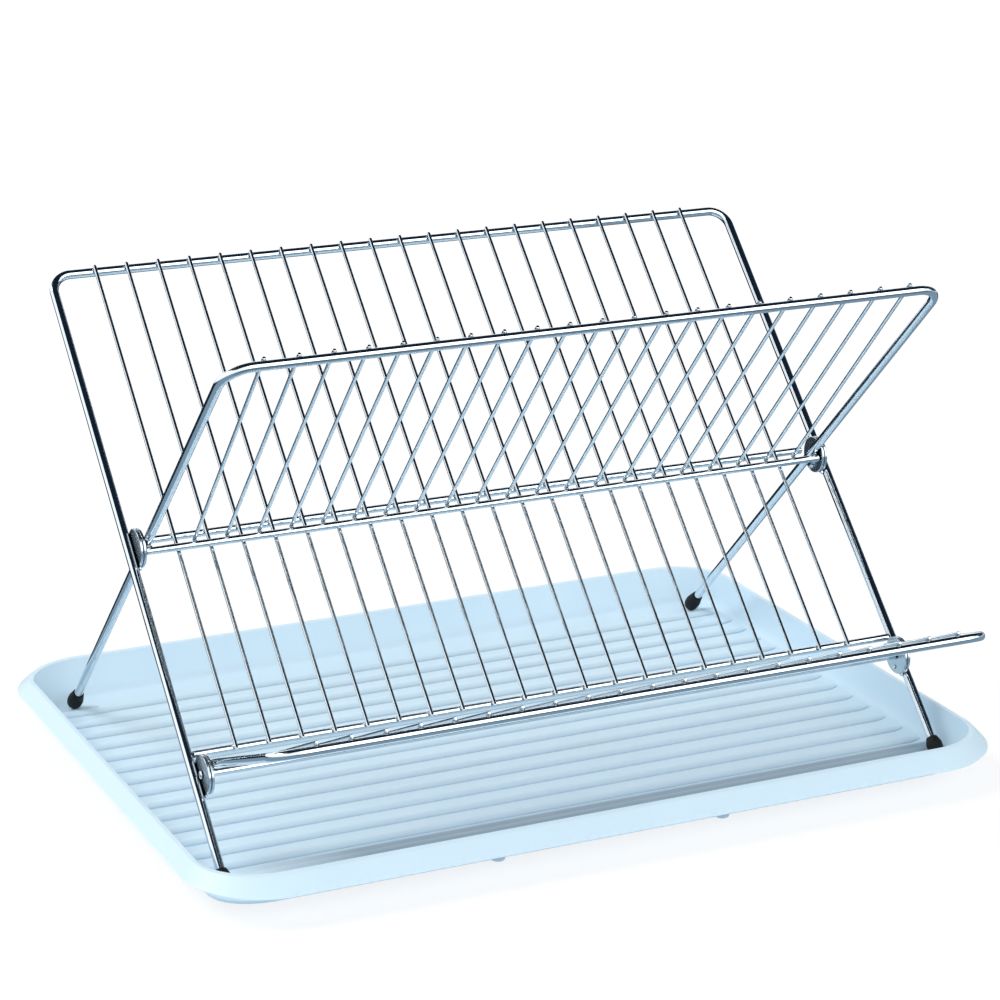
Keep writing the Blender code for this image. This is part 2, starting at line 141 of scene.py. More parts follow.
# Grids
WIRES = 21
PITCH = 0.0182
REAR_WIRE_SHIFT = -0.0030
FRONT_WIRE_TOP_SHIFT = 0.0008
FRONT_WIRE_LOW_SHIFT = 0.0062
REAR_MID_RAIL = 0.0047
REAR_LOWER_RAIL = 0.1185
FRONT_RAIL_AHEAD = 0.0047
RAIL_ROUNDING = 0.0006
WIRE_SIDES = 16
WIRE_ROUNDING = 0.0005
# How far the wires stick out past the rails and bars that they are welded to
REAR_WIRE_BELOW = 0.0025
REAR_WIRE_ABOVE = 0.0020
FRONT_WIRE_ABOVE = 0.0010
SHELF_WIRE_AHEAD = 0.0015

# Feet: how high the bulb is widest, and the share of the full sleeve that each rack's feet have
BULB_HEIGHT = 0.0010
REAR_RACK_SLEEVE = 0.5
FRONT_RACK_SLEEVE = 1.0
FOOT_ROUNDING = 0.0004

# Camera: azimuth, elevation and roll in degrees, distance, lens in millimetres, and what it looks at
CAMERA_ANGLES = (-25.512, 17.66, 0.321)
CAMERA_DISTANCE = 1.6795
CAMERA_LENS = 109.8
CAMERA_TARGET = PIVOT + Vector((0.00348, -0.00095, -0.00089))

rest = Matrix.Translation(PIVOT)
rear_place = rest @ Matrix.Rotation(-LEAN, 4, "X")
front_place = rest @ Matrix.Rotation(LEAN, 4, "X")
shelf_pin = Vector((0.0, UPPER_PIN_AHEAD - LOWER_PIN_AHEAD, -SHELF_DROP))
shelf_turn = math.radians(90.0) + LEAN - SHELF_RISE
shelf_place = rear_place @ Matrix.Translation(shelf_pin) @ Matrix.Rotation(shelf_turn, 4, "X")


class DishRackSettings(bpy.types.PropertyGroup):
    """Sizes and colours of the dish rack"""

    leg_wire: FloatProperty(
        name="Frame wire", description="Diameter of the wire that the U-shaped frames are bent from",
        default=0.0050, min=0.003, max=0.008, unit="LENGTH",
    )
    rail_wire: FloatProperty(
        name="Rail wire", description="Diameter of the cross rails",
        default=0.0040, min=0.002, max=0.006, unit="LENGTH",
    )
    thin_wire: FloatProperty(
        name="Grid wire", description="Diameter of the grids' thin wires",
        default=0.0020, min=0.001, max=0.004, unit="LENGTH",
    )
    chrome_colour: StringProperty(
        name="Chrome", description="Colour that the plating gives to what it reflects", default="#DFE8EE",
    )
    disc_colour: StringProperty(
        name="Discs", description="Colour of the stamped hinge discs", default="#C0CDD6",
    )
    # A colour that paints shade where wires cross or are welded
    crossing_shade_colour: StringProperty(
        name="Shade", description="Colour of the tarnish where wires cross", default="#1A2632",
    )
    tray_colour: StringProperty(
        name="Tray", description="Colour of the moulded tray", default="#D5EEFF",
    )
    # A colour that paints shade in the ribs' creases, on their front sides and in the foremost groove
    rib_shade_colour: StringProperty(
        name="Creases", description="Colour of the dried film along the tray's ribs", default="#7F97AA",
    )
    rubber_colour: StringProperty(
        name="Feet", description="Colour of the rubber feet", default="#05080B",
    )
    floor_colour: StringProperty(
        name="Floor", description="Colour of the studio floor", default="#FFFFFF",
    )
    tray_half: FloatVectorProperty(
        name="Tray", description="Half the length and half the width of the tray",
        default=(0.2338, 0.1770), size=2, unit="LENGTH",
    )


def settings():
    return bpy.context.scene.dish_rack


# Materials

def hex_colour(code):
    """Linear colour, with alpha 1, of an sRGB hex value."""
    channels = [int(code[i:i + 2], 16) / 255 for i in (1, 3, 5)]
    linear = [c / 12.92 if c <= 0.04045 else ((c + 0.055) / 1.055) ** 2.4 for c in channels]
    return (*linear, 1.0)


def scaled_colour(colour, factor):
    return tuple(min(1.0, factor * c) for c in colour[:3]) + (1.0,)


def add_node(tree, kind, label, values=None, options=None):
    """Adds a node, and sets its sockets to values or links them to other nodes' outputs."""
    made = tree.nodes.new(kind)
    made.name = made.label = label
    for key, value in (options or {}).items():
        setattr(made, key, value)
    for socket, value in (values or {}).items():
        if isinstance(value, bpy.types.NodeSocket):
            tree.links.new(value, made.inputs[socket])
        else:
            made.inputs[socket].default_value = value
    return made


def maths(tree, label, operation, *terms):
    """One number worked out from others, each a constant or another node's output."""
    made = add_node(tree, "ShaderNodeMath", label, dict(enumerate(terms)), {"operation": operation})
    return made.outputs[0]


def ramp(tree, label, value, source, target=(0.0, 1.0)):
    """Carries a number from one range over to another, whose ends it doesn't pass."""
    values = {
        "Value": value, "From Min": source[0], "From Max": source[1],
        "To Min": target[0], "To Max": target[1],
    }
    return add_node(tree, "ShaderNodeMapRange", label, values).outputs["Result"]


def mixed(tree, label, share, first, second):
    """A colour between two others."""
    values = {"Factor": share, "A": first, "B": second}
    return add_node(tree, "ShaderNodeMix", label, values, {"data_type": "RGBA"}).outputs["Result"]


def clouds(tree, label, place, size, detail, roughness=0.5):
    """Noise whose patches are about a given size across, in metres."""
    values = {"Vector": place, "Scale": 1 / size, "Detail": detail, "Roughness": roughness}
    return add_node(tree, "ShaderNodeTexNoise", label, values).outputs["Fac"]


def new_material(name, values):
    """A material with one Principled shader, whose constant values are set on its own sockets."""
    made = bpy.data.materials.new(name)
    made.use_nodes = True
    shader = made.node_tree.nodes["Principled BSDF"]
    for socket, value in values.items():
        shader.inputs[socket].default_value = value
    return made, made.node_tree, shader


def dress(tree, shader, colour, roughness, label, height, strength, distance):
    """Links a shader to its colour and roughness, and to a bump whose height is given in metres."""
    values = {"Height": height, "Strength": strength, "Distance": distance}
    bump = add_node(tree, "ShaderNodeBump", label, values)
    tree.links.new(colour, shader.inputs["Base Color"])
    tree.links.new(roughness, shader.inputs["Roughness"])
    tree.links.new(bump.outputs["Normal"], shader.inputs["Normal"])


def on_discs(tree, place):
    """1 on the stamped discs, known by their distance from the hinges' axes and along them, and else 0."""
    reach = DISC_RADIUS + 0.0002
    half_room = 0.0018
    flat = add_node(
        tree, "ShaderNodeVectorMath", "flat", {0: place, 1: (0.0, 1.0, 1.0)}, {"operation": "MULTIPLY"}
    ).outputs["Vector"]
    off_axis = [
        add_node(
            tree, "ShaderNodeVectorMath", f"off_{word}_hinge", {0: flat, 1: axis}, {"operation": "DISTANCE"}
        ).outputs["Value"]
        for word, axis in (("upper", PIVOT), ("lower", rear_place @ shelf_pin))
    ]
    nearest = maths(tree, "nearest_hinge", "MINIMUM", *off_axis)
    within = maths(tree, "within_disc", "LESS_THAN", nearest, reach)
    split = add_node(tree, "ShaderNodeSeparateXYZ", "split", {"Vector": place})
    across = maths(tree, "across", "ABSOLUTE", split.outputs["X"])
    between_discs = (INNER_DISC_IN + OUTER_DISC_IN + DISC_PLATE) / 2
    level = maths(tree, "disc_layer", "COMPARE", across, between_discs, half_room)
    return maths(tree, "disc", "MULTIPLY", within, level)


def chrome_plated_steel():
    """Bright chrome over drawn steel wire: a mirror whose reflections waver a little along the wire."""
    made, tree, shader = new_material("bright_chrome_plate", {"Metallic": 1.0})
    place = add_node(tree, "ShaderNodeTexCoord", "place").outputs["Object"]
    # The stamped discs are greyer and duller
    disc = on_discs(tree, place)
    bright, grey = hex_colour(settings().chrome_colour), hex_colour(settings().disc_colour)
    plate = mixed(tree, "plate", disc, bright, grey)
    # Painted shade: the plate is darkened where wires cross or are welded, within some 2 mm
    crossing = add_node(
        tree, "ShaderNodeAmbientOcclusion", "crossings", {"Distance": 0.0020}, {"samples": 8}
    ).outputs["AO"]
    painted_shade = ramp(tree, "painted_shade", crossing, (0.40, 0.82), (0.92, 0.0))
    shaded_plate = mixed(tree, "shaded_plate", painted_shade, plate, hex_colour(settings().crossing_shade_colour))
    # Dried water leaves faint dull patches some 15 mm across
    film_and_shade = clouds(tree, "water_film", place, 0.015, 3.0, 0.6)
    dull = ramp(tree, "dull_patches", film_and_shade, (0.35, 0.75), (0.03, 0.09))
    brushed = maths(tree, "brushed_disc", "MULTIPLY", disc, 0.26)
    rough = maths(tree, "roughest", "MAXIMUM", dull, brushed)
    # The drawn wire under the plate is not quite straight: waves 12 mm long and hundredths of a mm high
    waver = clouds(tree, "drawn_waver", place, 0.012, 1.0)
    dress(tree, shader, shaded_plate, rough, "waver_bump", waver, 0.12, 0.0004)
    return made


def painted_rib_shade(tree, coordinates):
    """How strongly shade is painted on the ribs' front sides and in the foremost groove."""
    facing = add_node(tree, "ShaderNodeSeparateXYZ", "facing", {"Vector": coordinates["Normal"]}).outputs
    front_side = ramp(tree, "front_side", facing["Y"], (0.0, -0.9), (0.0, 0.38))
    at = add_node(tree, "ShaderNodeSeparateXYZ", "position", {"Vector": coordinates["Object"]}).outputs
    # The back wall faces the front too, but gets no such painted shade
    before = ramp(tree, "before_back_wall", at["Y"], (0.140, 0.145), (1.0, 0.0))
    on_ribs = maths(tree, "on_ribs", "MULTIPLY", front_side, before)
    # The painted shadow of the front wall is deepest along the foremost groove
    into = ramp(tree, "into_groove", at["Y"], (-0.1040, -0.1070))
    out_of = ramp(tree, "out_of_groove", at["Y"], (-0.1190, -0.1225), (0.85, 0.0))
    along = ramp(tree, "along_groove", at["X"], (-0.190, -0.130))
    here = maths(tree, "in_groove", "MULTIPLY", into, out_of)
    groove = maths(tree, "groove", "MULTIPLY", here, along)
    tops = (TRAY_FLOOR + RIB_HEIGHT, TRAY_FLOOR + 1.3 * RIB_HEIGHT)
    low = ramp(tree, "ribs_only", at["Z"], tops, (1.0, 0.0))
    greyest = maths(tree, "greyest", "MAXIMUM", on_ribs, groove)
    return maths(tree, "greyer", "MULTIPLY", greyest, low)


def moulded_polypropylene():
    """Satin injection-moulded polypropylene: pale, faintly cloudy, with a fine sparked grain."""
    made, tree, shader = new_material("moulded_polypropylene", {
        "IOR": 1.49, "Subsurface Weight": 0.08, "Subsurface Radius": (0.004, 0.004, 0.005),
        "Subsurface Scale": 1.0,
    })
    coordinates = add_node(tree, "ShaderNodeTexCoord", "place").outputs
    place = coordinates["Object"]
    # Flow lines of the melt: soft clouds some 60 mm across
    cloud = clouds(tree, "melt_flow", place, 0.060, 2.0)
    colour = hex_colour(settings().tray_colour)
    tint = mixed(tree, "tint", cloud, scaled_colour(colour, 0.975), scaled_colour(colour, 1.02))
    # Painted shade: a grey line some 2 mm wide in the creases along the ribs' feet
    crease = add_node(
        tree, "ShaderNodeAmbientOcclusion", "creases",
        {"Distance": 0.0026}, {"samples": 8, "only_local": True},
    ).outputs["AO"]
    film_and_shade = ramp(tree, "painted_crease_shade", crease, (0.45, 0.85), (0.80, 0.0))
    shaded = hex_colour(settings().rib_shade_colour)
    crease_shaded = mixed(tree, "crease_shaded", film_and_shade, tint, shaded)
    # Painted shade darkens the ribs' front sides and the foremost groove
    shade = mixed(tree, "shade", painted_rib_shade(tree, coordinates), crease_shaded, shaded)
    wear = clouds(tree, "rubbed_patches", place, 0.025, 4.0)
    satin = ramp(tree, "satin", wear, (0.3, 0.7), (0.34, 0.46))
    # Spark-eroded mould grain of about 0.5 mm, drawn at 1.2 mm so that it shows
    grain = clouds(tree, "mould_grain", place, 0.0012, 2.0)
    dress(tree, shader, shade, satin, "grain_bump", grain, 0.12, 0.00005)
    return made


def moulded_rubber():
    """Black moulded rubber: dull, with a chalky bloom in patches."""
    made, tree, shader = new_material("moulded_rubber", {"IOR": 1.52, "Specular IOR Level": 0.25})
    place = add_node(tree, "ShaderNodeTexCoord", "place").outputs["Object"]
    bloom = clouds(tree, "bloom", place, 0.004, 5.0)
    colour = hex_colour(settings().rubber_colour)
    tint = mixed(tree, "tint", bloom, colour, scaled_colour(colour, 2.2))
    matt = ramp(tree, "matt", bloom, (0.0, 1.0), (0.5, 0.75))
    pores = clouds(tree, "pores", place, 0.0007, 2.0)
    dress(tree, shader, tint, matt, "pore_bump", pores, 0.3, 0.0001)
    return made


MAKERS = {
    "bright_chrome_plate": chrome_plated_steel,
    "moulded_polypropylene": moulded_polypropylene,
    "moulded_rubber": moulded_rubber,
}


def finish(name):
    return bpy.data.materials.get(name) or MAKERS[name]()


# Modelling

def deselect():
    if bpy.context.object and bpy.context.object.mode != "OBJECT":
        bpy.ops.object.mode_set(mode="OBJECT")
    bpy.ops.object.select_all(action="DESELECT")


def pick(objects):
    deselect()
    for obj in objects:
        obj.select_set(True)
    bpy.context.view_layer.objects.active = objects[0]
    return objects[0]


def apply_place():
    """Carries the picked object's place into its mesh."""
    bpy.ops.object.transform_apply(location=True, rotation=True, scale=True)


def apply_modifiers(obj):
    pick([obj])
    for modifier in list(obj.modifiers):
        bpy.ops.object.modifier_apply(modifier=modifier.name)


def round_edges(obj, width, segments, angle=40.0):
    """Bevels every sharp edge."""
    step = obj.modifiers.new("round", "BEVEL")
    step.width = width
    step.segments = segments
    step.limit_method = "ANGLE"
    step.angle_limit = math.radians(angle)
    apply_modifiers(obj)


def joined(objects):
    first = pick(objects)
    if len(objects) > 1:
        bpy.ops.object.join()
    return first


def bar(start, end, radius, sides, soften):
    """A straight round bar between two points, with softened ends."""
    run = Vector(end) - Vector(start)
    deselect()
    bpy.ops.mesh.primitive_cylinder_add(
        vertices=sides, radius=radius, depth=run.length,
        location=(Vector(start) + Vector(end)) / 2, rotation=run.to_track_quat("Z", "Y").to_euler(),
    )
    made = bpy.context.object
    round_edges(made, soften, 3)
    return made


def cross_rail(half, plane, height):
    """A rail along X, across the whole of a rack."""
    radius = settings().rail_wire / 2
    return bar((-half, plane, height), (half, plane, height), radius, ROD_SIDES, RAIL_ROUNDING)


def thin_bar(low, high):
    """One wire of a grid."""
    return bar(low, high, settings().thin_wire / 2, WIRE_SIDES, WIRE_ROUNDING)


def blob(centre, radius, squeeze=(1.0, 1.0, 1.0)):
    """A small weld nugget, stud or rivet head."""
    deselect()
    bpy.ops.mesh.primitive_uv_sphere_add(segments=14, ring_count=8, radius=radius, location=centre)
    bpy.context.object.scale = squeeze
    return bpy.context.object


def settle(obj, name, place, material, body, nodes):
    """Puts a piece at its place in its mesh, and gives it its finish, its body and its replaced nodes."""
    pick([obj])
    apply_place()
    obj.matrix_world = place
    apply_place()
    bpy.ops.object.shade_smooth_by_angle(angle=math.radians(35.0))
    # Flat faces keep their own direction beside rounded edges, as on a stamped disc
    weigh = obj.modifiers.new("weigh", "WEIGHTED_NORMAL")
    weigh.weight = 100
    weigh.keep_sharp = True
    apply_modifiers(obj)
    obj.name = obj.data.name = name
    obj.data.materials.clear()
    obj.data.materials.append(finish(material))
    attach(obj, body)
    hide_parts(*nodes)
    return obj


def plated(pieces, node, place, body):
    """Settles pieces of chrome-plated steel as the finished form of one node."""
    return settle(joined(pieces), f"{node}_plated", place, "bright_chrome_plate", body, [node])


def bent_frame(half, plane, foot, top, bend):
    """A U of round wire: a ring drawn up one leg, spun round a corner, along the bar and down again."""
    radius = settings().leg_wire / 2
    deselect()
    bpy.ops.mesh.primitive_circle_add(vertices=ROD_SIDES, radius=radius, location=(-half, plane, foot))
    made = bpy.context.object
    bpy.ops.object.mode_set(mode="EDIT")
    bpy.ops.mesh.select_all(action="SELECT")
    bpy.ops.mesh.extrude_region_move(TRANSFORM_OT_translate={"value": (0.0, 0.0, top - bend - foot)})
    bpy.ops.mesh.spin(
        steps=BEND_STEPS, angle=math.radians(-90.0),
        center=(bend - half, plane, top - bend), axis=(0.0, 1.0, 0.0),
    )
    bpy.ops.mesh.extrude_region_move(TRANSFORM_OT_translate={"value": (2 * (half - bend), 0.0, 0.0)})
    bpy.ops.mesh.spin(
        steps=BEND_STEPS, angle=math.radians(-90.0),
        center=(half - bend, plane, top - bend), axis=(0.0, 1.0, 0.0),
    )
    bpy.ops.mesh.extrude_region_move(TRANSFORM_OT_translate={"value": (0.0, 0.0, foot - top + bend)})
    bpy.ops.mesh.select_all(action="SELECT")
    bpy.ops.mesh.remove_doubles(threshold=0.00001)
    bpy.ops.mesh.fill_holes(sides=0)
    bpy.ops.mesh.select_all(action="SELECT")
    bpy.ops.mesh.normals_make_consistent(inside=False)
    bpy.ops.object.mode_set(mode="OBJECT")
    return made


def hinge_disc(side, inner, at):
    """A stamped disc across X with a rounded edge."""
    deselect()
    bpy.ops.mesh.primitive_cylinder_add(
        vertices=56, radius=DISC_RADIUS, depth=DISC_PLATE,
        location=(side * (inner + DISC_PLATE / 2), *at), rotation=(0.0, math.radians(90.0), 0.0),
    )
    made = bpy.context.object
    round_edges(made, DISC_ROUNDING, 3)
    return made


def leg_end(plane):
    """Where a leg ends, inside its foot's bulb."""
    return -(PIVOT_RISE - LEG_END_RISE - plane * math.sin(LEAN)) / math.cos(LEAN)


def studded_frame(plane, foot, top, bend, turn):
    """A frame between the rear rack's legs, whose two discs each hold a stud, at an angle about the pin."""
    pieces = [bent_frame(INNER_HALF, plane, foot, top, bend)]
    stud = (-STUD_DISTANCE * math.sin(turn), -STUD_DISTANCE * math.cos(turn))
    for side in (-1, 1):
        pieces.append(hinge_disc(side, INNER_DISC_IN + INNER_DISC_SHIFT, (0.0, 0.0)))
        pieces.append(blob((side * INNER_DISC_IN, *stud), STUD_RADIUS))
    return pieces


class MESH_OT_dish_rack_frames(bpy.types.Operator):
    """Bend the three U-shaped frames and weld their hinge discs on"""

    bl_idname = "mesh.dish_rack_frames"
    bl_label = "Frames and Hinge Discs"
    bl_options = {"REGISTER", "UNDO"}

    def execute(self, context):
        plane = UPPER_PIN_AHEAD
        pieces = [bent_frame(REAR_HALF, plane, leg_end(plane), REAR_TOP, REAR_BEND)]
        for at in ((0.0, 0.0), (shelf_pin.y, shelf_pin.z)):
            ahead = plane - at[0]
            edge = math.sqrt(DISC_RADIUS**2 - ahead**2)
            for side in (-1, 1):
                pieces.append(hinge_disc(side, OUTER_DISC_IN, at))
                spot = (side * (OUTER_DISC_IN + DISC_PLATE / 2), plane, at[1] - edge)
                pieces.append(blob(spot, *DISC_WELD))
        plated(pieces, "rear_frame", rear_place, "rear_rack")

        pieces = studded_frame(0.0, leg_end(0.0), FRONT_TOP, FRONT_BEND, LEAN)
        plated(pieces, "front_frame", front_place, "front_rack")

        arms = settings().leg_wire / 2 + settings().rail_wire / 2 + GAP
        pieces = studded_frame(arms, -SHELF_HEEL, SHELF_REACH, SHELF_BEND, shelf_turn - LEAN)
        plated(pieces, "shelf_frame", shelf_place, "cup_shelf")
        return {"FINISHED"}


def wire_radii():
    """Half the thickness of the frames', the rails' and the grids' wire."""
    return settings().leg_wire / 2, settings().rail_wire / 2, settings().thin_wire / 2


def wire_places():
    """Where a grid's wires stand along X, before the grid's own shift."""
    return [(number - (WIRES - 1) / 2) * PITCH for number in range(WIRES)]


def rear_grid():
    """The rear rack's two cross rails, and its wires in front of them."""
    leg, rail, thin = wire_radii()
    plane = UPPER_PIN_AHEAD - (leg + thin + GAP)
    rail_plane = plane + (rail + thin + GAP)
    between_legs = REAR_HALF - leg - GAP
    between_discs = INNER_HALF - leg - DISC_PLATE / 2
    for node, half, height in (
        ("rear_mid_rail", between_discs, REAR_MID_RAIL), ("rear_lower_rail", between_legs, -REAR_LOWER_RAIL)
    ):
        plated([cross_rail(half, rail_plane, height)], node, rear_place, "rear_rack")
    low, high = -REAR_LOWER_RAIL - REAR_WIRE_BELOW, REAR_TOP + REAR_WIRE_ABOVE
    for number, middle in enumerate(wire_places(), 1):
        x = middle + REAR_WIRE_SHIFT
        pieces = [thin_bar((x, plane, low), (x, plane, high))]
        for height in (REAR_TOP, REAR_MID_RAIL, -REAR_LOWER_RAIL):
            pieces.append(blob((x, plane + thin + GAP / 2, height), *WIRE_WELD))
        plated(pieces, f"rear_wire_{number:02d}", rear_place, "rear_rack")


def front_grid():
    """The front rack's bottom rail, and its wires, which lean sideways a little."""
    leg, rail, thin = wire_radii()
    rail_plane = -(leg + rail + GAP)
    pieces = [cross_rail(INNER_DISC_IN - GAP, rail_plane, FRONT_RAIL_AHEAD)]
    for side in (-1, 1):
        pieces.append(blob((side * INNER_HALF, -leg - GAP / 2, FRONT_RAIL_AHEAD), *FRONT_RAIL_WELD))
    plated(pieces, "front_bottom_rail", front_place, "front_rack")
    low_plane = rail_plane + (rail + thin + GAP)
    high_plane = leg + thin + GAP
    for number, x in enumerate(wire_places(), 1):
        low = Vector((x + FRONT_WIRE_LOW_SHIFT, low_plane, FRONT_RAIL_AHEAD - thin))
        high = Vector((x + FRONT_WIRE_TOP_SHIFT, high_plane, FRONT_TOP + FRONT_WIRE_ABOVE))
        pieces = [
            thin_bar(low, high),
            blob((high.x, high_plane - thin - GAP / 2, FRONT_TOP), *WIRE_WELD),
            blob((low.x, low.y - thin - GAP / 2, FRONT_RAIL_AHEAD), *WIRE_WELD),
        ]
        plated(pieces, f"front_wire_{number:02d}", front_place, "front_rack")


def shelf_grid():
    """The shelf's inner rail on the hinge's axis, and its wires, which lie on the shelf's front bar."""
    leg, rail, thin = wire_radii()
    pieces = [cross_rail(INNER_DISC_IN - GAP, 0.0, 0.0)]
    for side in (-1, 1):
        pieces.append(blob((side * INNER_HALF, rail + GAP / 2, 0.0), *SHELF_RAIL_WELD))
    over_bar = (leg + rail + GAP) + (leg + thin + GAP)
    for x in wire_places():
        low = (x, rail + thin / 2, -2 * thin)
        pieces.append(thin_bar(low, (x, over_bar, SHELF_REACH + SHELF_WIRE_AHEAD)))
        pieces.append(blob((x, over_bar - thin - GAP / 2, SHELF_REACH), *WIRE_WELD))
    plated(pieces, "shelf_grid", shelf_place, "cup_shelf")


class MESH_OT_dish_rack_grids(bpy.types.Operator):
    """Weld the thin wires and their cross rails into the two racks' grids and the shelf's grid"""

    bl_idname = "mesh.dish_rack_grids"
    bl_label = "Wires and Rails"
    bl_options = {"REGISTER", "UNDO"}

    def execute(self, context):
        rear_grid()
        front_grid()
        shelf_grid()
        return {"FINISHED"}


class MESH_OT_dish_rack_feet(bpy.types.Operator):
    """Push the rubber feet over the ends of the legs"""

    bl_idname = "mesh.dish_rack_feet"
    bl_label = "Rubber Feet"
    bl_options = {"REGISTER", "UNDO"}

    def execute(self, context):
        for half, plane, place, body, sleeve in (
            (REAR_HALF, UPPER_PIN_AHEAD, rear_place, "rear_rack", REAR_RACK_SLEEVE),
            (INNER_HALF, 0.0, front_place, "front_rack", FRONT_RACK_SLEEVE),
        ):
            for side, word in ((-1, "left"), (1, "right")):
                name = f"{body}_foot_{word}"
                made = rubber_foot(side * half, plane, place, sleeve)
                settle(made, f"{name}_cap", Matrix.Identity(4), "moulded_rubber", body, [name])
        return {"FINISHED"}


def rubber_foot(across, plane, place, sleeve):
    """A bulb on a sleeve: a ring drawn down the leg from its lip, then cut level with the tray's floor."""
    bore = settings().leg_wire / 2 + GAP / 3
    # Half the width, and the height above the leg's end, for a full sleeve
    outline = [
        (bore, 0.0092), (bore, 0.0104), (0.0029, 0.0106), (0.0032, 0.0102), (0.0034, 0.0090),
        (0.0037, 0.0074), (0.0040, 0.0058), (0.0043, 0.0042), (0.0045, 0.0026), (0.0045, BULB_HEIGHT),
        (0.0044, -0.0004), (0.0042, -0.0016), (0.0038, -0.0027), (0.0032, -0.0036),
        (0.0023, -0.0042), (0.0011, -0.0046), (0.0001, -0.0047),
    ]
    outline = [
        (wide, BULB_HEIGHT + (rise - BULB_HEIGHT) * (sleeve if rise > BULB_HEIGHT else 1.0))
        for wide, rise in outline
    ]
    deselect()
    bpy.ops.mesh.primitive_circle_add(vertices=40, radius=outline[0][0], location=(0.0, 0.0, outline[0][1]))
    made = bpy.context.object
    apply_place()
    bpy.ops.object.mode_set(mode="EDIT")
    bpy.ops.mesh.select_all(action="SELECT")
    for (old, above), (new, below) in zip(outline, outline[1:]):
        bpy.ops.mesh.extrude_region_move(TRANSFORM_OT_translate={"value": (0.0, 0.0, below - above)})
        if new != old:
            bpy.ops.transform.resize(
                value=(new / old, new / old, 1.0), center_override=(0.0, 0.0, below)
            )
    # The bulb's last ring and the bore, which ends inside the leg, are closed
    bpy.ops.mesh.select_all(action="SELECT")
    bpy.ops.mesh.fill_holes(sides=0)
    bpy.ops.mesh.normals_make_consistent(inside=False)
    bpy.ops.object.mode_set(mode="OBJECT")
    made.matrix_world = place @ Matrix.Translation((across, plane, leg_end(plane)))
    apply_place()
    level = PIVOT.z - PIVOT_RISE
    bpy.ops.object.mode_set(mode="EDIT")
    bpy.ops.mesh.select_all(action="SELECT")
    bpy.ops.mesh.bisect(
        plane_co=(0.0, 0.0, level), plane_no=(0.0, 0.0, -1.0), use_fill=True, clear_outer=True
    )
    bpy.ops.object.mode_set(mode="OBJECT")
    round_edges(made, FOOT_ROUNDING, 2, 45.0)
    return made


class MESH_OT_dish_rack_rivets(bpy.types.Operator):
    """Set the rivets that the discs turn on"""

    bl_idname = "mesh.dish_rack_rivets"
    bl_label = "Rivets"
    bl_options = {"REGISTER", "UNDO"}

    def execute(self, context):
        for name, at, place, body, headed in (
            ("upper_rivet", (0.0, 0.0), rest, "pins", False),
            ("lower_rivet", (shelf_pin.y, shelf_pin.z), rear_place, "rear_rack", True),
        ):
            low = INNER_DISC_IN + RIVET_DEPTH
            top = OUTER_DISC_IN + DISC_PLATE + RIVET_PROUD if headed else OUTER_DISC_IN + RIVET_DEPTH
            for side, word in ((-1, "left"), (1, "right")):
                pieces = [bar((side * low, *at), (side * top, *at), RIVET_RADIUS, sides=24, soften=0.0002)]
                if headed:
                    spot = (side * (top + RIVET_HEAD_SHIFT), *at)
                    pieces.append(blob(spot, RIVET_HEAD_RADIUS, RIVET_HEAD_SHAPE))
                plated(pieces, f"{name}_{word}", place, body)
        return {"FINISHED"}


def choose(obj, wanted):
    """In edit mode, selects the vertices that pass a test."""
    bpy.ops.mesh.select_all(action="DESELECT")
    form = bmesh.from_edit_mesh(obj.data)
    for vert in form.verts:
        vert.select = wanted(vert)
    form.select_flush(True)
    bmesh.update_edit_mesh(obj.data)


